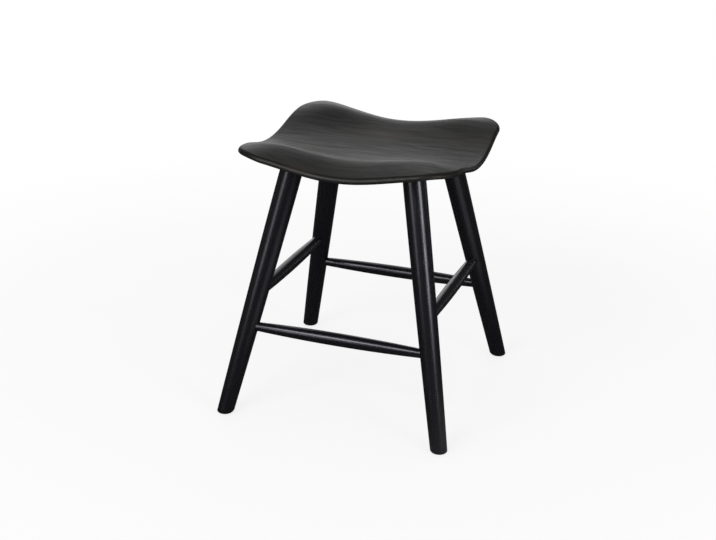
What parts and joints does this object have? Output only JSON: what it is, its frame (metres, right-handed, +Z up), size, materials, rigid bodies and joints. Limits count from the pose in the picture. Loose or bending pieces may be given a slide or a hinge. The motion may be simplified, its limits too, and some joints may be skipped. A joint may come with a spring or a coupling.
{
  "type": "stool",
  "caption": "Low saddle stool: a carved wooden seat with raised wings on splayed round legs tied by turned stretchers.",
  "frame": {"origin": "on the floor, under the middle of the seat", "axes": "+Z up; the front is -Y; the seat's raised wings lie along X"},
  "size_m": [0.4078, 0.42, 0.4662],
  "materials": {
    "seat_wood": "black stain under a thin satin lacquer",
    "frame_wood": "black stain under a thin satin lacquer",
    "glide_nylon": "matt",
    "nail_steel": "bright"
  },
  "bodies": {
    "root": {"seat": "seat_wood", "front_left_leg": "frame_wood", "front_right_leg": "frame_wood", "rear_left_leg": "frame_wood", "rear_right_leg": "frame_wood", "front_stretcher": "frame_wood", "rear_stretcher": "frame_wood", "left_stretcher": "frame_wood", "right_stretcher": "frame_wood", "front_left_glide": "glide_nylon", "front_right_glide": "glide_nylon", "rear_left_glide": "glide_nylon", "rear_right_glide": "glide_nylon", "front_left_glide_nail": "nail_steel", "front_right_glide_nail": "nail_steel", "rear_left_glide_nail": "nail_steel", "rear_right_glide_nail": "nail_steel"}
  },
  "joints": []
}
